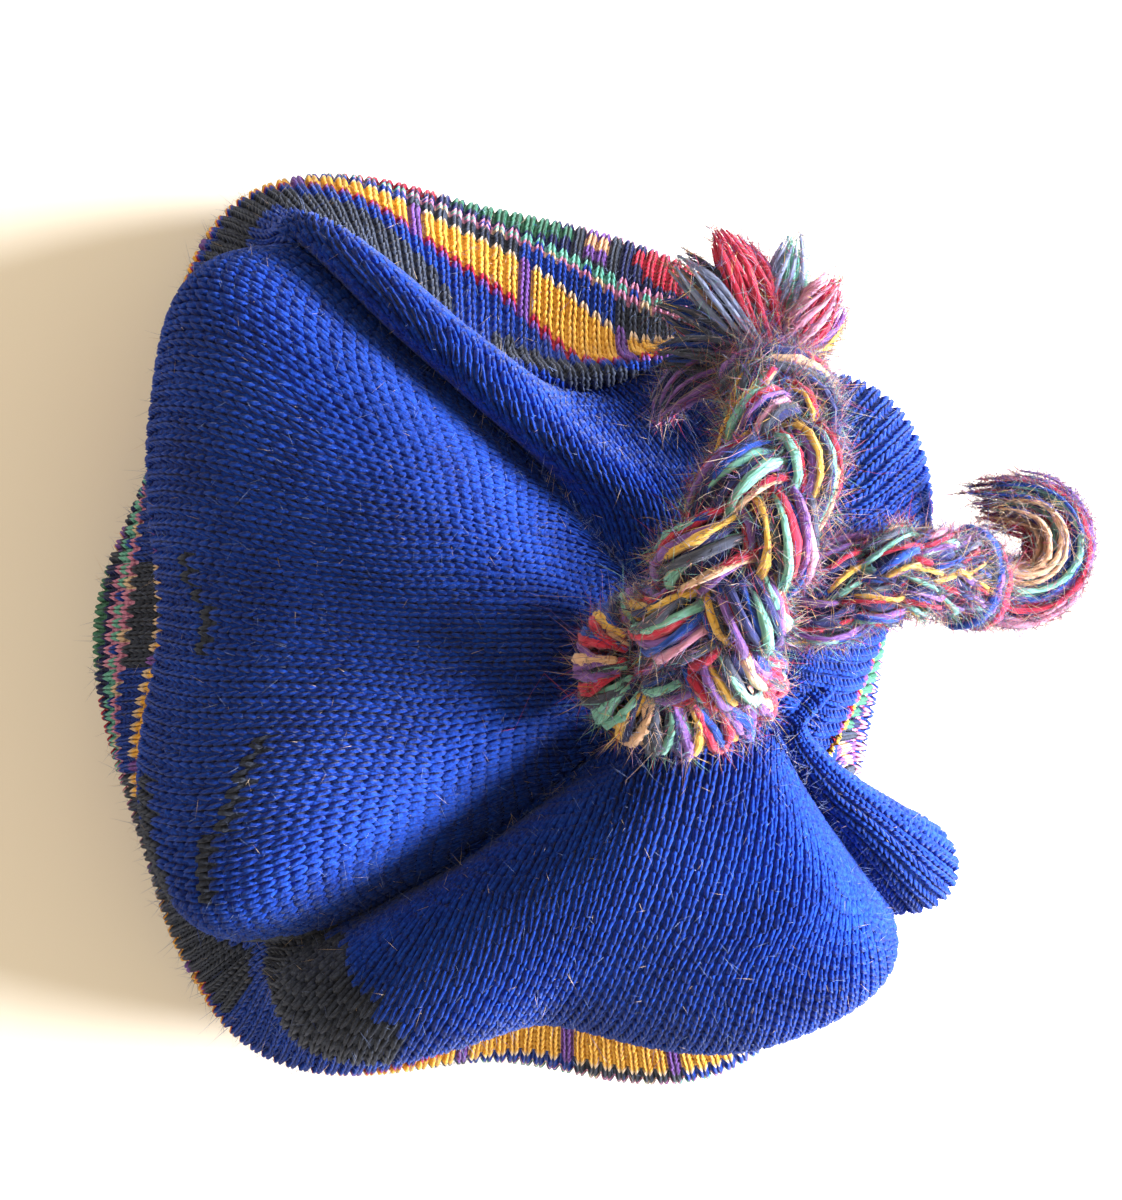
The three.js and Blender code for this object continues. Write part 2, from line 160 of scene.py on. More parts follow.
# Yarns by letter, each with a dark and a light tone that its fibres mix.
YARNS = {
    "b": ("blue", (6, 25, 98), (28, 78, 198)),
    "k": ("charcoal", (28, 33, 50), (68, 78, 102)),
    "y": ("yellow", (196, 138, 40), (246, 204, 98)),
    "p": ("purple", (74, 44, 124), (138, 96, 190)),
    "m": ("magenta", (150, 24, 76), (226, 70, 130)),
    "c": ("crimson", (116, 14, 40), (208, 46, 78)),
    "t": ("teal", (62, 140, 134), (136, 206, 194)),
    "g": ("green", (30, 84, 70), (78, 140, 118)),
    "a": ("tan", (190, 140, 108), (240, 204, 172)),
    "v": ("mauve", (160, 90, 136), (224, 164, 200)),
    "n": ("navy", (14, 18, 58), (38, 48, 112)),
    "f": ("beige", (176, 150, 128), (236, 216, 192)),
    "h": ("haze", (70, 90, 150), (150, 168, 214)),
}
YARN_NUMBERS = {letter: number for number, letter in enumerate(YARNS)}

# Knitted bands: the course of each band's lowest row, then its rows from the top down.
BANDS = {
    "hem_line": (8, ("kkkk",)),
    "ovals": (10, (
        "nnnnnnnnnnnnnnnnnnnnnnkkkk",
        "nnngggnnnnnncccccccnnnkppk",
        "nngggggnnnncccccccccnnkppk",
        "ngggggggnnccccccccccnnkppk",
        *("gggggggggncccccccccccnkaak",) * 4,
        "ngggggggnnccccccccccnnkppk",
        "nngggggnnaanccccccccnnkppk",
        "nnngggnnnaannccccccnnnkppk",
        "vvvvvvvvvvvvvvvvvvvvvvvvvv",
    )),
    "teal_line": (22, ("ttttttttvvvvvvvv",)),
    "dots": (23, ("vfvv", "ttbt")),
    "blocks": (25, ("bbbbbbbbkkkkkkkk",) * 4),
    "lower_line": (29, ("fffffffp",)),
    "yellow": (30, ("yyyyyyyp",) * 7),
    "upper_line": (37, ("pppbpppp", "cccccccp")),
}

# Charcoal leaves on the plain blue, one of them partly painted shade in a fold's valley: direction,
# middle course, length in wales, height and slant.
LEAVES_AND_VALLEY_SHADE = (
    (78, 45, 13, 8, 0.25),
    (103, 46, 12, 8, 0.3),
    (126, 46, 13, 9, 0.3),
    (207, 51, 9, 4, 0.5),
    (218, 37, 13, 13, 0.9),
    # The leaf at 227 degrees lies in the valley of the lower-left fold: it is partly charcoal and partly
    # painted shade of that valley.
    (227, 42, 11, 13, 1),
    (232, 58, 15, 9, 0.4),
    (242, 63, 12, 8, 0),
    (300, 46, 12, 8, 0.3),
)

# Charcoal strokes above them: direction, lowest course, length in wales, and climb in courses.
STROKES = (
    (170, 46, 6, 3),
    (194, 58, 11, -1),
)
STROKE_COURSES = 1

chance = np.random.default_rng(11)


def spline(rows, share):
    """Points of a smooth curve through evenly spaced rows, at shares from 0 to 1."""
    rows = np.asarray(rows, float)
    padded = np.vstack([2 * rows[0] - rows[1], rows, 2 * rows[-1] - rows[-2]])
    place = np.clip(share, 0, 1) * (len(rows) - 1)
    span = np.minimum(place.astype(int), len(rows) - 2)
    t = (place - span)[..., None]
    before, first, last, after = (padded[span + step] for step in range(4))
    leave = (last - before) / 2
    arrive = (after - first) / 2
    square = t * t
    cube = square * t
    return (
        (2 * cube - 3 * square + 1) * first
        + (cube - 2 * square + t) * leave
        + (3 * square - 2 * cube) * last
        + (cube - square) * arrive
    )


def unit(vectors):
    """Vectors brought to a length of 1."""
    return vectors / np.maximum(np.linalg.norm(vectors, axis=-1, keepdims=True), 1e-9)


def by_name(columns, values):
    """A table's values as a dictionary of its columns."""
    return {name: values[..., order] for order, name in enumerate(columns)}


def section(rise):
    """The interpolated section at each rise."""
    return by_name(SECTION_COLUMNS, spline(list(SECTIONS.values()), rise))


def plan_at(turn):
    """The interpolated plan in each direction."""
    rows = np.array(PLAN, float)
    closed = np.vstack([rows[-2:], rows, rows[:3]])
    place = np.mod(turn, 360) / 360 * len(rows)
    return by_name(PLAN_COLUMNS, spline(closed, (place + 2) / (len(closed) - 1)))


def smooth_hat(turn, rise):
    """The hat's outside without its folds."""
    cut = section(rise)
    plan = plan_at(turn)
    radius = cut["size"] * (plan["hem"] + (plan["shoulder"] - plan["hem"]) * cut["crown"])
    x = radius * np.cos(np.radians(turn))
    y = radius * np.sin(np.radians(turn))
    return np.stack([cut["x"] + x, cut["y"] + y, cut["z"] - cut["fall"] * x], axis=-1)


def facing(surface, turn, rise):
    """The outward normal and the sideways direction of a surface."""
    sideways = surface(turn + NUDGE["turn"], rise) - surface(turn - NUDGE["turn"], rise)
    above = np.clip(rise + NUDGE["rise"], 0, 1)
    below = np.clip(rise - NUDGE["rise"], 0, 1)
    upward = surface(turn, above) - surface(turn, below)
    normal = np.cross(sideways, upward)
    normal[..., 2] = np.where(rise <= 0, 0, normal[..., 2])
    return unit(normal), unit(sideways)


def fold_table():
    """The folds as a dictionary of columns."""
    return by_name(FOLD_COLUMNS, np.array(list(FOLDS.values()), float))


def outside(turn, rise):
    """The hat's outside with its folds, rolled lips and swells."""
    turn, rise = np.broadcast_arrays(turn, rise)
    folds = fold_table()
    first = folds["angle"][0]
    wrapped = first + np.mod(turn - first, 360)
    start = np.searchsorted(folds["angle"], wrapped, side="right") - 1
    end = np.mod(start + 1, len(FOLDS))
    width = np.mod(folds["angle"][end] - folds["angle"][start], 360)
    along = (wrapped - folds["angle"][start]) / width
    cut = section(rise)
    point = smooth_hat(turn, rise)
    normal, sideways = facing(smooth_hat, turn, rise)
    radius = np.hypot(point[..., 0] - cut["x"], point[..., 1] - cut["y"])
    arc = np.radians(width) * radius
    reach = np.minimum(ROLL_DISTANCE, arc / ROLL_PARTS)
    share = np.maximum(cut["fold"], 0)
    lips = sunk = drawn = 0
    for fold, side, distance in ((start, "after", along * arc), (end, "before", (1 - along) * arc)):
        width = np.minimum(folds[side][fold], arc / VALLEY_PARTS)
        floor = folds["floor"][fold]
        valley = np.exp(-(np.hypot(distance, floor) - floor) / width)
        lip = distance / reach * np.exp(1 - distance / reach)
        lips = lips + folds["rolls"][fold] * lip
        sunk = sunk + folds["depth"][fold] * share ** folds["low"][fold] * valley
        drawn = drawn + folds["lean"][fold] * valley**2
    swell = folds["swell"][start] * np.sin(np.pi * along)
    out = cut["fold"] * reach / ROLL_DISTANCE * lips - sunk + cut["soft"] * swell
    return point + normal * out[..., None] + sideways * (cut["fold"] * drawn)[..., None]


def wale_turns(rises):
    """The turn of each line between wales at each rise; wales keep their pitch across a face."""
    folds = fold_table()
    widths = np.mod(np.roll(folds["angle"], -1) - folds["angle"], 360)
    along = np.linspace(0, 1, PACKING["places"])
    middle = len(along) // 2
    sharp = PACKING["sharp"]
    arcs = []
    for angle, width in zip(folds["angle"], widths):
        points = outside(angle + width * along, rises[:, None])
        steps = np.linalg.norm(np.diff(points, axis=1), axis=-1)
        arcs.append(np.concatenate([np.zeros((len(rises), 1)), np.cumsum(steps, axis=1)], axis=1))
    level = len(rises) // SHARING_PART
    lengths = np.array([arc[level, -1] for arc in arcs])
    ends = np.round(WALES * np.cumsum(lengths) / lengths.sum()).astype(int)
    turns = np.zeros((len(rises), WALES + 1))
    begin = 0
    for angle, width, arc, end in zip(folds["angle"], widths, arcs, ends):
        count = end - begin
        across = np.linspace(-1, 1, count + 1)
        for row, total in enumerate(arc):
            half = np.where(across < 0, total[middle], total[-1] - total[middle])
            spare = np.maximum(count * WALE_PITCH / 2 / half, 1)
            steep = spare ** PACKING["keep"]
            packed = steep * np.abs(across)
            packed = packed / (1 + packed**sharp) ** (1 / sharp)
            packed = packed * (1 + steep**sharp) ** (1 / sharp) / steep
            share = np.clip((steep - 1) / PACKING["full"], 0, 1)
            placed = np.abs(across) * (1 - share) + packed * share
            place = total[middle] + np.sign(across) * half * placed
            turns[row, begin : end + 1] = angle + width * np.interp(place, total, along)
        begin = end
    return turns


def cloth_grid():
    """The count of courses, and points, normals, widths and rises by course, and wales' directions."""
    rises = np.linspace(0, 1, RISE_SAMPLES)
    turns = wale_turns(rises)
    lines = outside(turns, rises[:, None])
    steps = np.linalg.norm(np.diff(lines, axis=0), axis=-1).mean(axis=1)
    climb = np.concatenate([[0], np.cumsum(steps)])
    courses = int(round(climb[-1] / COURSE_PITCH))
    rows = np.linspace(0, 1, courses * GRID_PER_COURSE + 1)
    columns = np.arange(WALES * GRID_PER_WALE) / GRID_PER_WALE
    by_rise = np.stack([np.interp(columns, np.arange(WALES + 1), row) for row in turns])
    directions = by_rise[len(rises) // READING_PART]
    lift = plan_at(directions)["lift"] / courses
    lifted = rows[:, None] + lift * np.sin(np.pi * rows)[:, None] ** 2
    grid_rises = np.interp(lifted * climb[-1], climb, rises)
    place = grid_rises * (len(rises) - 1)
    low = np.minimum(place.astype(int), len(rises) - 2)
    part = place - low
    column = np.arange(len(columns))
    grid_turns = by_rise[low, column] * (1 - part) + by_rise[low + 1, column] * part
    points = outside(grid_turns, grid_rises)
    sideways = np.roll(points, -1, axis=1) - np.roll(points, 1, axis=1)
    upward = np.gradient(points, axis=0)
    widths = np.linalg.norm(sideways, axis=-1) * GRID_PER_WALE / 2
    normals = unit(np.cross(sideways, upward))
    normals[0, :, 2] = 0
    return courses, points, unit(normals), widths, grid_rises, directions


COURSES, GRID_POINTS, GRID_NORMALS, GRID_WIDTHS, GRID_RISES, GRID_TURNS = cloth_grid()

# A place on the grid stays this far from its end, so that a row lies above it.
END_OF_GRID = 1.001


def on_grid(values, wale, course):
    """Values of the grid between its points, going round at the last wale."""
    column = np.mod(wale, WALES) * GRID_PER_WALE
    row = np.clip(course * GRID_PER_COURSE, 0, len(values) - END_OF_GRID)
    left = np.minimum(column.astype(int), values.shape[1] - 1)
    low = row.astype(int)
    right = np.mod(left + 1, values.shape[1])
    across = column - left
    up = row - low
    if values.ndim == 3:
        across = across[..., None]
        up = up[..., None]
    lower = values[low, left] * (1 - across) + values[low, right] * across
    upper = values[low + 1, left] * (1 - across) + values[low + 1, right] * across
    return lower * (1 - up) + upper * up


def on_cloth(wale, course, height):
    """Points at a height over the knitting's middle surface."""
    wale, course, height = np.broadcast_arrays(wale, course, height)
    base = on_grid(GRID_POINTS, wale, course)
    return base + unit(on_grid(GRID_NORMALS, wale, course)) * height[..., None]


def root_ring(height, width):
    """One level ring of the gathered root."""
    angle = np.arange(ROOT_SIDES) / ROOT_SIDES * 2 * np.pi
    bunched = width * (1 + ROOT_RIPPLE * np.cos(ROOT_BUNCHES * angle))
    x = ROOT["x"] + ROOT["width_x"] * bunched * np.cos(angle)
    y = ROOT["y"] + ROOT["width_y"] * bunched * np.sin(angle)
    return np.stack([x, y, np.full(ROOT_SIDES, ROOT["seat"] + height)], axis=-1)


# The part's origin lies under the middle of its box, so the tables are moved to meet the frame.
root_low = np.vstack([root_ring(height, width) for height, width in ROOT_PROFILE]).min(axis=0)
ORIGIN = root_low - np.array(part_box("topknot_root")[0]) / METRES
ORIGIN[2] = 0


def colour(tone):
    """A linear colour from red, green and blue levels out of 255."""
    level = np.array(tone) / 255
    linear = np.where(level <= 0.04045, level / 12.92, ((level + 0.055) / 1.055) ** 2.4)
    return (*linear.tolist(), 1)


# Loose yarn is paler: some of its light tone goes into its dark one, with a haze and flecks.
LOOSE_DARK = 0.65
LOOSE_LIGHT = 0.35
FLECK = (186, 158, 166)
HAZE = (150, 128, 134)
HAZE_SHARE = 0.1

# Fibres to the millimetre round a loose yarn and along it, and the step from yarn to yarn.
GRAIN = (2.6, 0.3, 7.3)

# Fibres to the metre in knitted yarn, the share of patches, where the tones mix, and sheen and flecks.
FIBRE_SCALE = 1400
PATCH_SHARE = 0.35
MIX = {"dark": 0.45, "light": 0.95, "pale": 0.99}
SHEEN_TINT = (205, 214, 236)
KNIT_SHEEN = 0.15
WOOL_SHEEN = 0.35
WOOL_FLECKS = 0.12


def loose_tones(dark, light):
    """The two tones of a yarn where it is loose, with a haze of other fibres over it."""
    haze = np.array(HAZE) * HAZE_SHARE
    deep = np.array(dark) * LOOSE_DARK + np.array(light) * LOOSE_LIGHT
    return deep * (1 - HAZE_SHARE) + haze, np.array(light) * (1 - HAZE_SHARE) + haze


def add_node(nodes, kind, **values):
    """A shader node with the values of some of its sockets."""
    node = nodes.new("ShaderNode" + kind)
    for socket, value in values.items():
        node.inputs[socket].default_value = value
    return node


def yarn_material(name, dark, light, sheen, flecks, grained):
    """Wool: fibres of two tones, a fine bump and a soft sheen; grained wool has them along its yarns."""
    material = bpy.data.materials.new(name)
    material.use_nodes = True
    nodes = material.node_tree.nodes
    link = material.node_tree.links.new
    shader = nodes["Principled BSDF"]
    place = add_node(nodes, "TexCoord")
    fibres = add_node(nodes, "TexNoise", Scale=1 if grained else FIBRE_SCALE, Detail=3)
    patches = add_node(nodes, "TexNoise", Scale=90, Detail=2)
    blend = add_node(nodes, "Math")
    blend.operation = "MULTIPLY_ADD"
    blend.inputs[1].default_value = PATCH_SHARE
    bump = add_node(nodes, "Bump", Strength=0.8, Distance=0.0004)
    ramp = add_node(nodes, "ValToRGB")
    tones = ramp.color_ramp.elements
    tones[0].position = MIX["dark"]
    tones[0].color = colour(dark)
    tones[1].position = MIX["light"] - flecks
    tones[1].color = colour(light)
    tones.new(MIX["pale"]).color = colour(light if flecks == 0 else FLECK)
    if grained:
        grain = add_node(nodes, "Attribute")
        grain.attribute_name = "grain"
        stretch = add_node(nodes, "Mapping", Scale=GRAIN)
        link(grain.outputs["Vector"], stretch.inputs["Vector"])
        link(stretch.outputs["Vector"], fibres.inputs["Vector"])
    else:
        link(place.outputs["Object"], fibres.inputs["Vector"])
    link(place.outputs["Object"], patches.inputs["Vector"])
    link(patches.outputs["Fac"], blend.inputs[0])
    link(fibres.outputs["Fac"], blend.inputs[2])
    link(blend.outputs["Value"], ramp.inputs["Fac"])
    link(fibres.outputs["Fac"], bump.inputs["Height"])
    link(ramp.outputs["Color"], shader.inputs["Base Color"])
    link(bump.outputs["Normal"], shader.inputs["Normal"])
    shader.inputs["Roughness"].default_value = 0.95
    shader.inputs["Specular IOR Level"].default_value = 0.15
    shader.inputs["Sheen Weight"].default_value = sheen
    shader.inputs["Sheen Roughness"].default_value = 0.5
    shader.inputs["Sheen Tint"].default_value = colour(SHEEN_TINT)
    return material


KNIT = [yarn_material("knit_" + name, *tones, KNIT_SHEEN, 0, False) for name, *tones in YARNS.values()]
WOOL = [
    yarn_material("wool_" + name, *loose_tones(*tones), WOOL_SHEEN, WOOL_FLECKS, True)
    for name, *tones in YARNS.values()
]

# Room round each cell of a map for baking, and what is left of the cell.
CELL_MARGIN = 0.08
CELL_FILL = 0.84


def add_object(name, data):
    """An object of a mesh, a light or a camera."""
    made = bpy.data.objects.new(name, data)
    bpy.context.collection.objects.link(made)
    return made


def add_piece(name, points, triangles, yarns, local, cells, slot, replaces, materials, grain=None):
    """A mesh piece; local places in each cell lay out its map, and grain is where its fibres run."""
    mesh = bpy.data.meshes.new(name)
    mesh.vertices.add(len(points))
    mesh.vertices.foreach_set("co", ((points - ORIGIN) * METRES).astype(np.float32).ravel())
    corners = triangles.astype(np.int32).ravel()
    mesh.loops.add(len(corners))
    mesh.loops.foreach_set("vertex_index", corners)
    mesh.polygons.add(len(triangles))
    mesh.polygons.foreach_set("loop_start", np.arange(0, len(corners), 3, dtype=np.int32))
    used, order = np.unique(yarns, return_inverse=True)
    for yarn in used:
        mesh.materials.append(materials[yarn])
    mesh.polygons.foreach_set("material_index", order.astype(np.int32).ravel())
    mesh.polygons.foreach_set("use_smooth", np.ones(len(triangles), dtype=bool))
    side = math.ceil(math.sqrt(cells.max() + 1))
    corner = np.stack([np.mod(cells, side), cells // side], axis=-1)
    layout = (corner + CELL_MARGIN + CELL_FILL * local) / side
    layer = mesh.uv_layers.new(name="OFBake")
    layer.data.foreach_set("uv", layout[corners].astype(np.float32).ravel())
    if grain is not None:
        streaks = mesh.attributes.new("grain", "FLOAT_VECTOR", "POINT")
        streaks.data.foreach_set("vector", grain.astype(np.float32).ravel())
    mesh.update(calc_edges=True)
    mesh.validate()
    piece = add_object(name, mesh)
    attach(piece, "root")
    if replaces:
        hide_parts(*replaces)
    return piece


def wale_at(turn):
    """The wale that runs up a direction."""
    return int(np.argmin(np.abs(np.mod(GRID_TURNS - turn + 180, 360) - 180)) / GRID_PER_WALE)


def knitted_chart():
    """The yarn of every stitch, by course and wale."""
    chart = np.full((COURSES, WALES), YARN_NUMBERS["b"])
    for lowest, rows in BANDS.values():
        for step, letters in enumerate(reversed(rows)):
            row = [YARN_NUMBERS[letter] for letter in letters]
            chart[lowest + step] = np.resize(row, WALES)
    charcoal = YARN_NUMBERS["k"]
    # The leaves are charcoal yarn; the one in the lower-left fold's valley is also painted shade there.
    for turn, middle, length, height, slant in LEAVES_AND_VALLEY_SHADE:
        for step in range(-(length // 2), length // 2 + 1):
            half = height / 2 * math.sqrt(1 - (2 * step / (length + 1)) ** 2)
            centre = middle + slant * step
            chart[round(centre - half) : round(centre + half), (wale_at(turn) + step) % WALES] = charcoal
    for turn, lowest, length, climb in STROKES:
        for step in range(length):
            course = lowest + round(climb * step / length)
            chart[course : course + STROKE_COURSES, (wale_at(turn) + step) % WALES] = charcoal
    return chart


CHART = knitted_chart()


def tube_triangles(rows, sides):
    """Triangles of a tube of rings whose ends are closed by fans to two points after the rings."""
    here = np.arange(sides)
    following = np.mod(here + 1, sides)
    level = np.arange(rows - 1)[:, None] * sides
    first = np.stack([level + here, level + following, level + sides + following], axis=-1)
    second = np.stack([level + here, level + sides + following, level + sides + here], axis=-1)
    last = (rows - 1) * sides
    low = np.stack([following, here, np.full(sides, rows * sides)], axis=-1)
    high = np.stack([last + here, last + following, np.full(sides, rows * sides + 1)], axis=-1)
    return np.concatenate([first.reshape(-1, 3), second.reshape(-1, 3), low, high])


# The base cloth: courses from row to row, its depth, its rows inside, and its depth at the gather.
BASE = {"step": 1.5, "depth": 0.45, "inner_rows": 24, "gather_depth": 0.8}


def base_cloth():
    """The closed hollow wall that the stitches lie on."""
    rows = np.arange(0, COURSES + 0.01, BASE["step"])
    columns = np.arange(WALES, dtype=float)
    outer = on_cloth(columns, rows[:, None], -BASE["depth"])
    inner_last = np.argmax(GRID_RISES.mean(axis=1) > INNER_TOP) / GRID_PER_COURSE
    inner_rows = np.linspace(inner_last, 0, BASE["inner_rows"])
    inner = on_cloth(columns, inner_rows[:, None], -WALL)
    rings = np.concatenate([inner, outer])
    count = len(rings)
    ring_rows = np.concatenate([inner_rows, rows])
    rings[len(inner) - 1, :, 2] = 0
    rings[len(inner), :, 2] = 0
    gather = np.array(SECTIONS["gather"][:3], float)
    ceiling = gather - [0, 0, CEILING_DROP]
    closed = gather - [0, 0, BASE["gather_depth"]]
    points = np.vstack([rings.reshape(-1, 3), ceiling, closed])
    triangles = tube_triangles(count, WALES)
    triangles = triangles[:, ::-1] if signed_volume(points, triangles) < 0 else triangles
    course = np.minimum(ring_rows[:-1].astype(int), COURSES - 1)
    plain = CHART[course]
    plain[: len(inner)] = YARN_NUMBERS["b"]
    plain = plain.ravel()
    caps = np.full(2 * WALES, YARN_NUMBERS["b"])
    yarns = np.concatenate([plain, plain, caps])
    local = np.stack([
        np.tile(np.arange(WALES) / WALES, count),
        np.repeat(np.arange(count) / count, WALES),
    ], axis=-1)
    local = np.vstack([local, [0.5, 0], [0.5, 1]])
    cells = np.zeros(len(points), dtype=int)
    slot = "blue_knit"
    shell = ("knit_shell",)
    return add_piece("knit_base_cloth", points, triangles, yarns, local, cells, slot, shell, KNIT)


def signed_volume(points, triangles):
    """The volume inside a closed mesh, below 0 where its triangles face inwards."""
    first, second, third = (points[triangles[:, corner]] for corner in range(3))
    return np.einsum("ij,ij->i", first, np.cross(second, third)).sum() / 6


# One leg of a stitch from its low tip to its high tip: shares of a wale aside and of a course up, half
# its width in wales, and the heights of its top and of its edges.
LEG = {
    "low_tip": (0.05, -0.2, 0, -0.4, -0.4),
    "low_ring": (0.125, 0.1, 0.2, 0.64, -0.33),
    "high_ring": (0.25, 0.92, 0.2, 0.57, -0.33),
    "high_tip": (0.28, 1.3, 0, -0.3, -0.3),
}
LEG_TRIANGLES = np.array([
    (0, 2, 1), (0, 3, 2), (0, 1, 3),
    (1, 2, 5), (1, 5, 4), (2, 3, 6), (2, 6, 5), (3, 1, 4), (3, 4, 6),
    (7, 4, 5), (7, 5, 6), (7, 6, 4),
])
LEG_MAP = np.array([
    (0.5, 0), (0, 0.3), (0.5, 0.3), (1, 0.3), (0, 0.7), (0.5, 0.7), (1, 0.7), (0.5, 1),
])

# Stitches: their narrowest and widest to a wale's pitch, how uneven they are, and the lean of a leg.
STITCH = {"narrowest": 0.3, "widest": 1.05, "uneven": 0.025, "lean": 0.1}


def stitches(name, first_course, last_course):
    """Stocking stitches of a run of courses, each of two closed legs that make a V."""
    course, wale = np.meshgrid(np.arange(first_course, last_course), np.arange(WALES), indexing="ij")
    course = course.ravel()
    wale = wale.ravel()
    width = on_grid(GRID_WIDTHS, wale + 0.5, course + 0.5)
    seen = width > STITCH["narrowest"] * WALE_PITCH
    course, wale, width = course[seen], wale[seen], width[seen]
    full = np.clip(width / WALE_PITCH, STITCH["narrowest"], STITCH["widest"])
    uneven = chance.normal(0, STITCH["uneven"], (len(course), 2))
    points = []
    for side in (-1, 1):
        middle = wale + 0.5 + uneven[:, 0]
        level = course + uneven[:, 1]
        leg = []
        for aside, up, half_width, top, edge in LEG.values():
            lean = STITCH["lean"] * side
            for way in (-1, 0, 1) if half_width else (0,):
                across = middle + side * aside + way * half_width
                leg.append(on_cloth(across, level + up - way * lean, (edge if way else top) * full))
        points.append(np.stack(leg, axis=1))
    points = np.concatenate(points)
    legs = len(points)
    size = len(LEG_MAP)
    triangles = (np.arange(legs)[:, None, None] * size + LEG_TRIANGLES).reshape(-1, 3)
    flat = points.reshape(-1, 3)
    flat[:, 2] = np.maximum(flat[:, 2], 0)
    if signed_volume(flat[:size], LEG_TRIANGLES) < 0:
        triangles = triangles[:, ::-1]
    yarns = np.repeat(np.tile(CHART[course, wale], 2), len(LEG_TRIANGLES))
    cells = np.repeat(np.arange(legs), size)
    spread = np.tile(LEG_MAP, (legs, 1))
    return add_piece(name, flat, triangles, yarns, spread, cells, "blue_knit", (), KNIT)


# Yarns: the length of a turn of the plies, the rounding of the ends, and a direction that none takes.
PLY_TURN = 4.5
ROUNDED = 0.6
NO_WAY = (0.31, 0.57, 0.76)


def run_along(path):
    """How far each point of a path lies along it."""
    return np.concatenate([[0], np.cumsum(np.linalg.norm(np.diff(path, axis=0), axis=1))])


class Bundle:
    """Many yarns joined into one mesh, with the courses of those that have fuzz."""

    def __init__(self):
        self.parts = []
        self.courses = []
        self.count = 0

    def add(self, path, radius, letter, sides=8, ply=0.12, woolly=0.18):
        """A plied yarn along a path, uneven as wool is, with a radius for each of its points."""
        steps = len(path)
        radius = np.broadcast_to(np.asarray(radius, float), steps)
        ahead = unit(np.gradient(path, axis=0))
        upright = np.zeros_like(path)
        guess = np.cross(ahead[0], NO_WAY)
        for step in range(steps):
            guess = guess - ahead[step] * np.dot(guess, ahead[step])
            guess = guess / max(np.linalg.norm(guess), 1e-9)
            upright[step] = guess
        aside = np.cross(ahead, upright)
        run = run_along(path)
        angle = np.arange(sides) / sides * 2 * np.pi
        swell = 1 + ply * np.cos(2 * angle - 2 * np.pi * run[:, None] / PLY_TURN)
        swell = swell + np.clip(chance.normal(0, woolly, swell.shape), -2 * woolly, 2 * woolly)
        wide = radius[:, None] * swell
        level = np.cos(angle)[:, None] * upright[:, None]
        ring = path[:, None] + wide[..., None] * (level + np.sin(angle)[:, None] * aside[:, None])
        start = path[0] - ahead[0] * radius[0] * ROUNDED
        end = path[-1] + ahead[-1] * radius[-1] * ROUNDED
        points = np.vstack([ring.reshape(-1, 3), start, end])
        triangles = tube_triangles(steps, sides)
        number = len(self.parts)
        round_share = 1 - np.abs(2 * np.arange(sides) / sides - 1)
        local = np.stack([np.tile(round_share, steps), np.repeat(run / run[-1], sides)], axis=-1)
        around = (round_share * np.pi * radius[:, None]).ravel()
        grain = np.stack([around, np.repeat(run, sides), np.full(steps * sides, number)], axis=-1)
        self.parts.append((
            points,
            triangles + self.count,
            np.full(len(triangles), YARN_NUMBERS[letter]),
            np.vstack([local, [0.5, 0], [0.5, 1]]),
            np.full(len(points), number),
            np.vstack([grain, [0, 0, number], [0, run[-1], number]]),
        ))
        self.count += len(points)
        if woolly:
            self.courses.append((path, radius, letter))

    def piece(self, name, slot, *replaces):
        """The bundle as a piece; the courses of its yarns are handed back."""
        *arrays, grain = (np.concatenate(part) for part in zip(*self.parts))
        add_piece(name, *arrays, slot, replaces, WOOL, grain)
        return self.courses


def ripple(wave, along, number, turn=1, grow=1):
    """A wave along a yarn, from its size, its count and its step from yarn to yarn."""
    size, count, step = wave
    return size * grow * np.sin(turn * (along * count + number * step))


# Places measured along a plait's route, of which about one to the millimetre is kept.
ROUTE_PLACES = 400


def plait_places(plait):
    """Closely spaced places along a plait with its directions, size and phase."""
    fine = spline(plait["route"], np.linspace(0, 1, ROUTE_PLACES))
    run = run_along(fine)
    at = np.linspace(0, run[-1], int(run[-1]))
    middle = np.stack([np.interp(at, run, fine[:, axis]) for axis in range(3)], axis=-1)
    along = at / run[-1]
    size = plait["size"] + (plait["tied_size"] - plait["size"]) * along**2
    ahead = unit(np.gradient(middle, axis=0))
    hint = np.array(plait["across"], float)
    across = unit(hint - ahead * (ahead @ hint)[:, None])
    depth = np.cross(ahead, across)
    turning = 2 * np.pi * (at[1] - at[0]) / (BRAID["period"] * size)
    phase = np.concatenate([[0], np.cumsum(turning)[:-1]])
    return {
        "middle": middle, "ahead": ahead, "across": across, "depth": depth,
        "size": size, "phase": phase, "along": along,
    }


# Strands: half sizes in millimetres, shares of them, and waves as their size, count and step.
STRAND = {
    "sway": 0.74, "wide": 4.9, "deep": 3.3, "crossing": 0.85, "edge": 0.3, "core": 0.72,
    "start": 0.2, "start_size": 0.55, "start_growth": 0.45, "yarn": 0.5, "ease": 0.9, "stray": 0.12,
    "press": 0.6, "thickness": (0.85, 1.25),
    "turn": (0.2, 4, 0.61), "rise": (0.55, 5, 0.37), "slub": (0.24, 7.3, 0.29),
}
STRAND_YARNS = {
    "a": ("bnkcptcytbpcnktbcypnktcapb", "tpnbckypkctnbpcnykctbpvnkc", "cbntkpycnptkcbkypcntbnptac"),
    "b": ("cptbnkycpbtkcnypvb", "ktcbpynncptbkpkcat", "pkcnytkpbctykbcnvp"),
}
STRAND_SLOTS = ("crimson_yarn", "teal_yarn", "mustard_yarn")


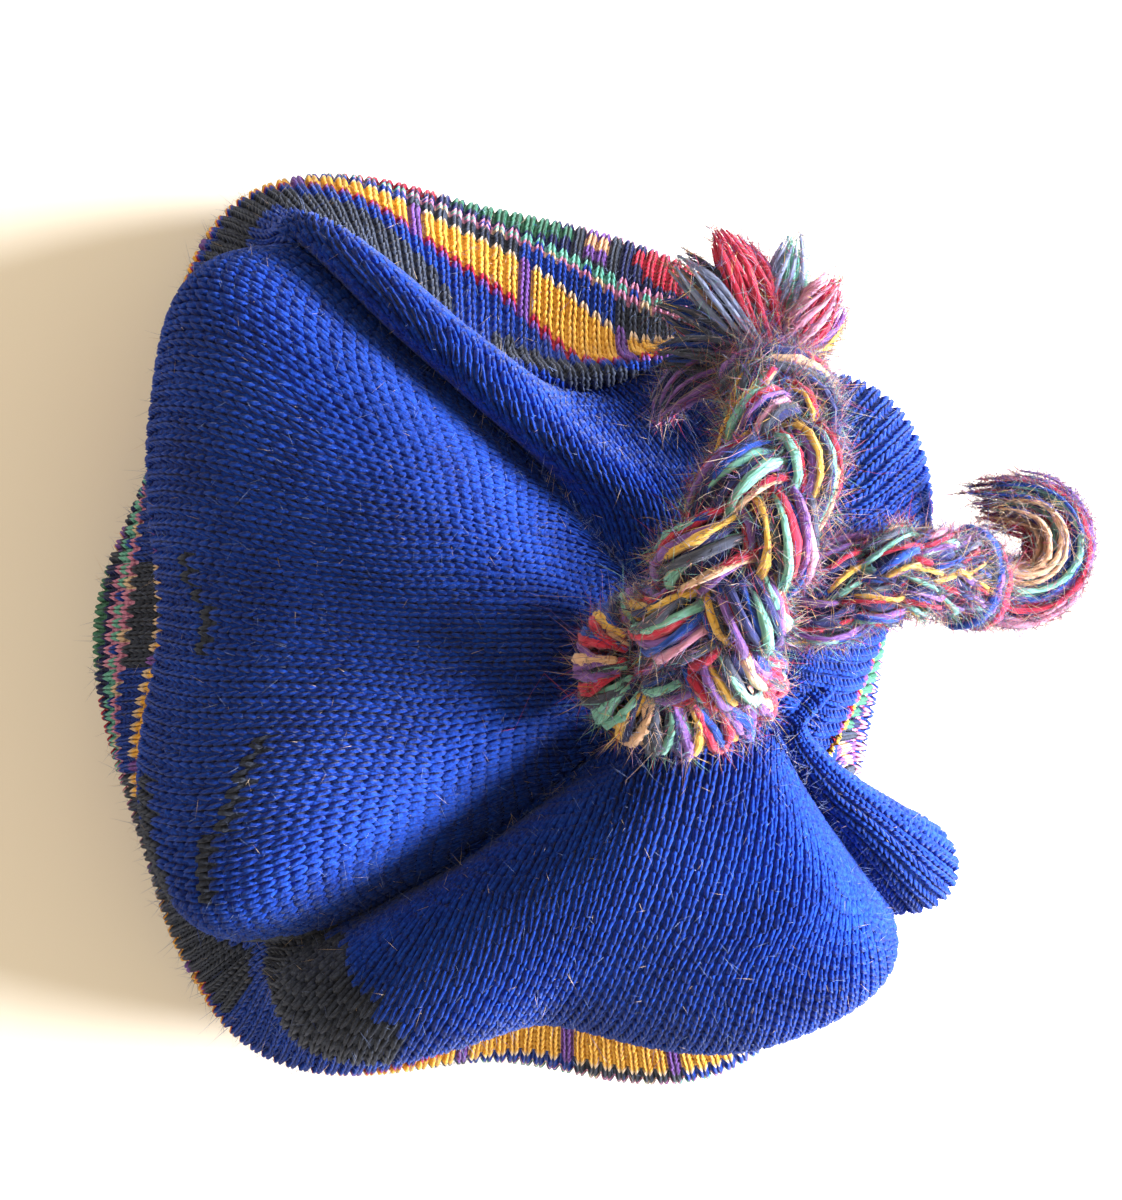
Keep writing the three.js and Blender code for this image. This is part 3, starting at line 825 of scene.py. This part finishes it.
def strand_yarns(label, order, places):
    """The parallel yarns of one plait strand, packed round an oval navy core whose dark colour is painted
    shade in the gaps between them.
    """
    angle = places["phase"] + 2 * np.pi * order / 3
    grown = np.clip(places["along"] / STRAND["start"], 0, 1)
    growth = STRAND["start_growth"] * grown * grown * (3 - 2 * grown)
    size = places["size"] * (STRAND["start_size"] + growth)
    side = STRAND["sway"] * BRAID["sway"] * size * np.sin(angle)
    over = BRAID["cross"] * size * np.sin(2 * angle)
    path = places["middle"] + places["across"] * side[:, None] + places["depth"] * over[:, None]
    tangent = unit(np.gradient(path, axis=0))
    flat = unit(np.cross(places["depth"], tangent))
    raised = np.cross(tangent, flat)
    edge = np.sin(angle) ** 2
    wide = STRAND["wide"] * size
    deep = STRAND["deep"] * size * (STRAND["crossing"] + STRAND["edge"] * edge)
    letters = STRAND_YARNS[label][order]
    thick = STRAND["yarn"] * size
    bundle = Bundle()
    # The navy core fills the strand; where it shows between the yarns its dark colour is painted shade.
    bundle.add(path, deep * STRAND["core"], "n", ply=0, woolly=0)
    for number, letter in enumerate(letters):
        stray = chance.uniform(-STRAND["stray"], STRAND["stray"])
        turn = 2 * np.pi * number / len(letters) + STRAND["ease"] * side / wide + stray
        turn = turn + ripple(STRAND["turn"], places["along"], number, 2 * np.pi)
        rise = ripple(STRAND["rise"], places["along"], number, 2 * np.pi)
        slub = 1 + ripple(STRAND["slub"], places["along"], number, 2 * np.pi)
        out = flat * ((wide - thick) * np.cos(turn))[:, None]
        out = out + raised * ((deep - thick * STRAND["press"]) * np.sin(turn) + rise)[:, None]
        uneven = chance.uniform(*STRAND["thickness"])
        bundle.add(path + out, thick * slub * uneven, letter, sides=6)
    node = "plait_" + label + "_strand_" + str(order + 1)
    return bundle.piece(node + "_yarns", STRAND_SLOTS[order], node)


# The root's yarns: the count and inset of each layer, their colours, and how they rise, turn and drift.
ROOT_LAYERS = ((56, 0.8), (36, 2.2))
ROOT_LETTERS = "capntbkcytpkcbnptkcyapt"
ROOT_YARN = {
    "skip": 5, "places": 34, "low": 3, "rise": 23.5, "twist": 0.5, "wave": (0.12, 5, 2.1),
    "drift_x": -5, "drift_y": 3, "least": 0.5, "thickness": (0.85, 1.25),
}
# The root's navy core: where it shows between the root's yarns its dark colour is painted shade.
ROOT_CORE = {"x": -1, "y": 1, "height": 19, "rings": 10, "inset": 3, "least": 1.5, "sides": 20}


def root_yarns():
    """Yarn loops that rise from the gather and turn in under the plaits."""
    bundle = Bundle()
    profile = np.array(ROOT_PROFILE, float)
    share = np.linspace(0, 1, ROOT_YARN["places"])
    height = ROOT_YARN["low"] + ROOT_YARN["rise"] * share
    width = np.interp(height, profile[:, 0], profile[:, 1])
    for layer, (count, inset) in enumerate(ROOT_LAYERS):
        for number in range(count):
            angle = 2 * np.pi * (number + 0.5 * layer) / count
            wave = ripple(ROOT_YARN["wave"], share, number)
            angle = angle + ROOT_YARN["twist"] * (share - 0.5) + wave
            x = ROOT["x"] + (ROOT["width_x"] * width - inset) * np.cos(angle)
            y = ROOT["y"] + (ROOT["width_y"] * width - inset) * np.sin(angle)
            x = x + ROOT_YARN["drift_x"] * share**2
            y = y + ROOT_YARN["drift_y"] * share**2
            path = np.stack([x, y, ROOT["seat"] + height], axis=-1)
            thick = np.clip(width, ROOT_YARN["least"], 1) * chance.uniform(*ROOT_YARN["thickness"])
            letter = ROOT_LETTERS[(number * ROOT_YARN["skip"] + layer) % len(ROOT_LETTERS)]
            bundle.add(path, thick, letter, sides=6)
    # A navy core fills the root; where it shows between the yarns its dark colour is painted shade.
    middle = np.array([ROOT["x"] + ROOT_CORE["x"], ROOT["y"] + ROOT_CORE["y"], ROOT["seat"]])
    core_height = np.linspace(0, ROOT_CORE["height"], ROOT_CORE["rings"])
    core = middle + core_height[:, None] * [0, 0, 1]
    core_width = np.interp(core_height, profile[:, 0], profile[:, 1]) * ROOT["width_y"]
    core_width = np.maximum(core_width - ROOT_CORE["inset"], ROOT_CORE["least"])
    bundle.add(core, core_width, "n", sides=ROOT_CORE["sides"], ply=0, woolly=0)
    return bundle.piece("topknot_root_yarns", "mixed_yarn", "topknot_root")


# Ties: sizes in millimetres, shares, and waves as their size, count and step from turn to turn.
TIE = {
    "length": 5.5, "fit": 0.92, "room": 0.6, "turn": 1.05, "places": 44, "slant": (0.8, 1, 1),
    "loose": (0.05, 2, 1.7), "slack": (-0.02, 0.08), "yarn": 0.9, "thickness": (0.8, 1.15),
}


def tie_yarns(label, end, letters):
    """Turns of yarn wound round the end of a plait."""
    bundle = Bundle()
    reach = end["size"] * (STRAND["wide"] + BRAID["sway"]) * TIE["fit"] + TIE["room"]
    deep = end["size"] * (BRAID["cross"] + BRAID["thickest"]) + TIE["room"]
    angle = np.linspace(0, 2 * np.pi * TIE["turn"], TIE["places"])
    for number, letter in enumerate(letters):
        shift = -TIE["length"] + TIE["length"] * (number + 0.5) / len(letters)
        shift = shift + ripple(TIE["slant"], angle, number)
        loose = 1 + ripple(TIE["loose"], angle, number) + chance.uniform(*TIE["slack"])
        path = end["middle"] + end["ahead"] * shift[:, None]
        path = path + end["across"] * (reach * loose * np.cos(angle))[:, None]
        path = path + end["depth"] * (deep * loose * np.sin(angle))[:, None]
        bundle.add(path, TIE["yarn"] * chance.uniform(*TIE["thickness"]), letter)
    return bundle.piece("tie_" + label + "_yarns", "mixed_yarn", "tie_" + label)


# Tassels: millimetres and degrees, shares of a yarn's length and size, and waves as size, count and step.
TASSEL = {
    "root": 4.85, "turn": 137.5, "lock_root": 2.3, "lock_tip": 3.4, "step": 1.6, "fewest": 9,
    "length": (0.92, 1.04), "past": (0.1, 1.25), "stray_bend": 3, "stray": 0.25, "twist": 0.7,
    "wave_aside": (0.3, 7, 1.3), "wave_above": (0.3, 6, 2.9), "behind": 2, "close": 0.8,
    "yarn": 0.62, "thickness": (0.8, 1.2), "taper": 0.75,
}

# Layers of yarns in a lock: how many, and how far out. A lock's colours change 5 times in 17 yarns.
LOCK_LAYERS = ((1, 0), (6, 0.5), (13, 1))
COLOUR_CHANGES = 5
COLOUR_YARNS = 17


def lock_line(root, heading, rise, bend, length, share):
    """Places along a lock that leaves its root along a heading and bends, with the ways on and aside."""
    way = np.radians(heading + bend * np.minimum(share, 1))
    climb = math.radians(rise)
    forward = unit(np.stack([np.cos(way), np.sin(way), np.full(len(way), math.tan(climb))], axis=-1))
    middle = (forward[1:] + forward[:-1]) / 2 * (np.diff(share) * length)[:, None]
    line = root + np.vstack([np.zeros(3), np.cumsum(middle, axis=0)])
    aside = np.stack([-np.sin(way), np.cos(way), np.zeros(len(way))], axis=-1)
    return line, forward, aside


def tassel_yarns(label, end, plait):
    """Soft locks of loose yarn past the tie, each a bunch of fluffy ends of uneven length."""
    bundle = Bundle()
    root = end["middle"] + end["ahead"] * TASSEL["root"]
    yarns = [(count, ring, place) for count, ring in LOCK_LAYERS for place in range(count)]
    for order, (heading, rise, bend, length, letters) in enumerate(plait["locks"]):
        turn = math.radians(TASSEL["turn"] * order)
        out = plait["root_spread"] * math.sqrt(order / len(plait["locks"]))
        for number, (count, ring, place) in enumerate(yarns):
            reach = length * chance.uniform(*TASSEL["length"])
            last = 1 + plait["past"] * chance.uniform(*TASSEL["past"]) / reach
            share = np.linspace(0, last, max(int(reach * last / TASSEL["step"]), TASSEL["fewest"]))
            bent = bend + chance.normal(0, TASSEL["stray_bend"])
            line, forward, aside = lock_line(root, heading, rise, bent, reach, share)
            above = np.cross(forward, aside)
            share = share / last
            wide = TASSEL["lock_root"] + (TASSEL["lock_tip"] - TASSEL["lock_root"]) * share
            wide = wide * plait["fill"] * (1 - plait["draw"] * share**3)
            wide = (wide - TASSEL["yarn"] * (1 - share)) * ring
            angle = 2 * np.pi * (place + 0.5 * ring) / count + TASSEL["twist"] * share
            angle = angle + chance.uniform(-TASSEL["stray"], TASSEL["stray"])
            inward = plait["inward"] * np.sin(np.pi * share)
            inward = inward + ripple(TASSEL["wave_aside"], share, number, grow=share)
            upward = wide * np.sin(angle) + ripple(TASSEL["wave_above"], share, number, grow=share)
            path = line + aside * (out * math.cos(turn) + wide * np.cos(angle) + inward)[:, None]
            path = path + above * upward[:, None]
            path[:, 2] += out * math.sin(turn)
            start = end["middle"] - end["ahead"] * TASSEL["behind"]
            start = start + (path[0] - root) * TASSEL["close"]
            path = np.vstack([start, (start + path[0]) / 2, path[1:]])
            taper = 1 - TASSEL["taper"] * np.linspace(0, 1, len(path)) ** 4
            thick = TASSEL["yarn"] * chance.uniform(*TASSEL["thickness"]) * taper
            letter = letters[number * COLOUR_CHANGES // COLOUR_YARNS % len(letters)]
            bundle.add(path, thick, letter, sides=4, ply=0.1)
    return bundle.piece("tassel_" + label + "_yarns", "mixed_yarn", "tassel_" + label)


# Fibres: shares of their length, the rings from which they wave, and their least height.
FIBRE = {
    "bend": 0.55, "curl": 0.8, "curl_share": 0.6, "wave": 0.25, "waves": 9, "wavy_rings": 4,
    "taper": 0.5, "lowest": 0.2, "no_way": (0.37, 0.81, 0.45),
}


def fibres(name, roots, directions, lengths, letters, slot, thick, rings, materials=WOOL):
    """Loose fibres as thin curling closed spikes of three sides."""
    count = len(roots)
    share = np.arange(rings) / rings
    bends = chance.normal(0, FIBRE["bend"], (count, 1, 3))
    curls = chance.normal(0, FIBRE["curl"], (count, 1, 3))
    waves = chance.normal(0, FIBRE["wave"], (count, 1, 3)) * (rings >= FIBRE["wavy_rings"])
    place = np.append(share, 1)[None, :, None]
    bent = directions[:, None] * place + bends * place**2 + FIBRE["curl_share"] * curls * place**3
    bent = bent + waves * np.sin(FIBRE["waves"] * place)
    spine = roots[:, None] + lengths[:, None, None] * bent
    first = unit(np.cross(directions, FIBRE["no_way"]))
    second = np.cross(directions, first)
    angle = np.arange(3) * 2 * np.pi / 3
    around = np.cos(angle)[:, None] * first[:, None]
    around = around + np.sin(angle)[:, None] * second[:, None]
    taper = thick * (1 - FIBRE["taper"] * share)
    tubes = spine[:, :-1, None] + taper[:, None, None] * around[:, None]
    size = 3 * rings + 1
    points = np.concatenate([tubes.reshape(count, size - 1, 3), spine[:, -1:]], axis=1)
    points[..., 2] = np.maximum(points[..., 2], FIBRE["lowest"])
    spike = [(0, 2, 1)]
    for here in range(3 * rings - 3):
        after = here + 1 if here % 3 < 2 else here - 2
        spike.append((here, after, after + 3))
        spike.append((here, after + 3, here + 3))
    for here, after in ((4, 3), (3, 2), (2, 4)):
        spike.append((size - here, size - after, size - 1))
    spike = np.array(spike)
    triangles = (np.arange(count)[:, None, None] * size + spike).reshape(-1, 3)
    yarns = np.repeat([YARN_NUMBERS[letter] for letter in letters], len(spike))
    local = np.zeros((size, 2))
    local[:-1, 0] = np.tile([0, 0.5, 1], rings)
    local[:-1, 1] = np.repeat(share, 3)
    local[-1] = (0.5, 1)
    cells = np.repeat(np.arange(count), size)
    spread = np.tile(local, (count, 1))
    grain = np.concatenate([spread * np.repeat(lengths, size)[:, None], cells[:, None]], axis=-1)
    flat = points.reshape(-1, 3)
    add_piece(name, flat, triangles, yarns, spread, cells, slot, (), materials, grain)


# Fuzz on the knitting, from its lowest course and at a height over the cloth.
KNIT_FUZZ = {
    "count": 9000, "lowest": 2, "height": 0.3, "stray": 0.8, "length": (0.8, 2.4),
    "letters": "hhhhbf", "thick": 0.045,
}


def cloth_fuzz():
    """Short fibres that stand off the knitting."""
    count = KNIT_FUZZ["count"]
    wale = chance.uniform(0, WALES, count)
    course = chance.uniform(KNIT_FUZZ["lowest"], COURSES - 1, count)
    roots = on_cloth(wale, course, np.full(count, KNIT_FUZZ["height"]))
    normal = unit(on_grid(GRID_NORMALS, wale, course))
    directions = unit(normal + chance.normal(0, KNIT_FUZZ["stray"], (count, 3)))
    lengths = chance.uniform(*KNIT_FUZZ["length"], count)
    palette = np.array(list(KNIT_FUZZ["letters"]))
    letters = palette[chance.integers(0, len(palette), count)]
    fibres("knit_fuzz", roots, directions, lengths, letters, "blue_knit", KNIT_FUZZ["thick"], 1, KNIT)


# Fuzz on loose yarn: count, share in another yarn's colour, shortest, longest, thickness, rings, lift,
# and how far wispy places may be favoured.
FUZZ = {
    "topknot_fuzz": (49800, 0.45, 1, 3.4, 0.065, 1, 0.5, 1),
    "tassel_fuzz": (20000, 0.4, 1, 3.2, 0.065, 1, 0.45, 6),
    "topknot_stray_fibres": (1600, 0.8, 2.5, 6.5, 0.045, 6, 1.4, 2),
}
FUZZ_MIX = "hhvffaycmtpb"

# How far a fibre's foot strays round its yarn, how deep it stands, and how far its heading strays.
FUZZ_FOOT = {"stray": 0.45, "depth": 0.9, "heading": 0.25}

# Blocks in which the wool is weighed, with empty blocks round it.
BLOCK = 1.6
BLOCK_MARGIN = 3


def thinning(points, weights):
    """The way in which the wool round each point thins out, and how fast it does."""
    index = np.round((points - points.min(axis=0)) / BLOCK).astype(int) + BLOCK_MARGIN
    density = np.zeros(index.max(axis=0) + BLOCK_MARGIN + 1)
    np.add.at(density, tuple(index.T), weights)
    for axis in (0, 1, 2, 0, 1, 2):
        density = (np.roll(density, 1, axis) + 2 * density + np.roll(density, -1, axis)) / 4
    slope = -np.stack(np.gradient(density), axis=-1)[tuple(index.T)]
    return unit(slope), np.linalg.norm(slope, axis=-1) / density[tuple(index.T)]


def yarn_fuzz(name, courses):
    """Loose fibres all over a set of yarns, some in the yarn's own colour and some in another's."""
    count, strange, shortest, longest, thick, rings, lift, wispy = FUZZ[name]
    paths, radii, yarns = zip(*courses)
    middles = np.concatenate(paths)
    widths = np.concatenate(radii)
    own = np.repeat(yarns, [len(path) for path in paths])
    steps = np.concatenate([np.gradient(path, axis=0) for path in paths])
    ahead = unit(steps)
    spacing = np.linalg.norm(steps, axis=-1)
    outward, open_share = thinning(middles, spacing)
    likely = spacing * np.minimum(open_share, wispy * np.median(open_share)) ** 2
    pick = chance.choice(len(middles), count, p=likely / likely.sum())
    away = chance.normal(0, FUZZ_FOOT["stray"], (count, 3)) + outward[pick]
    away = unit(away - ahead[pick] * np.einsum("ij,ij->i", away, ahead[pick])[:, None])
    roots = middles[pick] + away * widths[pick][:, None] * FUZZ_FOOT["depth"]
    roots = roots + ahead[pick] * (spacing[pick] * chance.uniform(-0.5, 0.5, count))[:, None]
    sense = np.where(chance.random(count) < 0.5, -1, 1)[:, None]
    stray = chance.normal(0, FUZZ_FOOT["heading"], (count, 3))
    directions = unit(away * lift + ahead[pick] * sense + stray)
    reach = chance.uniform(shortest, longest, count)
    mixed = np.array(list(FUZZ_MIX))[chance.integers(0, len(FUZZ_MIX), count)]
    letters = np.where(chance.random(count) < strange, mixed, own[pick])
    fibres(name, roots, directions, reach, letters, "mixed_yarn", thick, rings)


# The stitches are three pieces, each with the courses that it starts and ends at.
STITCH_RUNS = {
    "knit_stitches_lower": (0, 33),
    "knit_stitches_shoulder": (33, 64),
    "knit_stitches_crown": (64, COURSES),
}

cloth = base_cloth()
stitch_pieces = [stitches(name, *run) for name, run in STITCH_RUNS.items()]
fuzzy = root_yarns()
ends = []
for label, plait in PLAITS.items():
    places = plait_places(plait)
    for order in range(3):
        fuzzy = fuzzy + strand_yarns(label, order, places)
    end = {name: values[-1] for name, values in places.items()}
    fuzzy = fuzzy + tie_yarns(label, end, plait["tie"])
    ends = ends + tassel_yarns(label, end, plait)
cloth_fuzz()
yarn_fuzz("topknot_fuzz", fuzzy)
yarn_fuzz("tassel_fuzz", ends)
yarn_fuzz("topknot_stray_fibres", fuzzy + ends)

# A plain pale floor, a soft bright light from the right, a dim warm sky, and a camera straight overhead.
# The camera's place is in the tables' millimetres, and the light's in metres.
FLOOR_TONE = (250, 247, 241)
KEY_TONE = (255, 252, 248)
KEY_PLACE = (2.25, 0, 0.82)
KEY_AIM = (0, 0, 0.06)
SKY_TONE = (255, 234, 200)
CAMERA_PLACE = (15.7, 4.2, 508)

pale = bpy.data.materials.new("pale_floor")
pale.use_nodes = True
shader = pale.node_tree.nodes["Principled BSDF"]
shader.inputs["Base Color"].default_value = colour(FLOOR_TONE)
shader.inputs["Roughness"].default_value = 0.8
bpy.ops.mesh.primitive_plane_add(size=6, location=(0, 0, 0))
floor = bpy.context.object
floor.name = "floor"
floor.data.materials.append(pale)

lamp = bpy.data.lights.new("key", "AREA")
lamp.shape = "DISK"
lamp.size = 1.4
lamp.energy = 380
lamp.color = colour(KEY_TONE)[:3]
lamp_object = add_object("key", lamp)
lamp_object.location = KEY_PLACE
aim = Vector(KEY_AIM) - Vector(KEY_PLACE)
lamp_object.rotation_euler = aim.to_track_quat("-Z", "Y").to_euler()

world = bpy.data.worlds.new("studio")
bpy.context.scene.world = world
world.use_nodes = True
sky = world.node_tree.nodes["Background"]
sky.inputs["Color"].default_value = colour(SKY_TONE)
sky.inputs["Strength"].default_value = 0.86

camera = bpy.data.cameras.new("camera")
camera.lens = 73.3
camera.sensor_fit = "AUTO"
camera.sensor_width = 36
camera.clip_start = 0.01
camera_object = add_object("camera", camera)
camera_object.location = ((np.array(CAMERA_PLACE) - ORIGIN) * METRES).tolist()
bpy.context.scene.camera = camera_object
bpy.context.scene.view_settings.view_transform = "Standard"
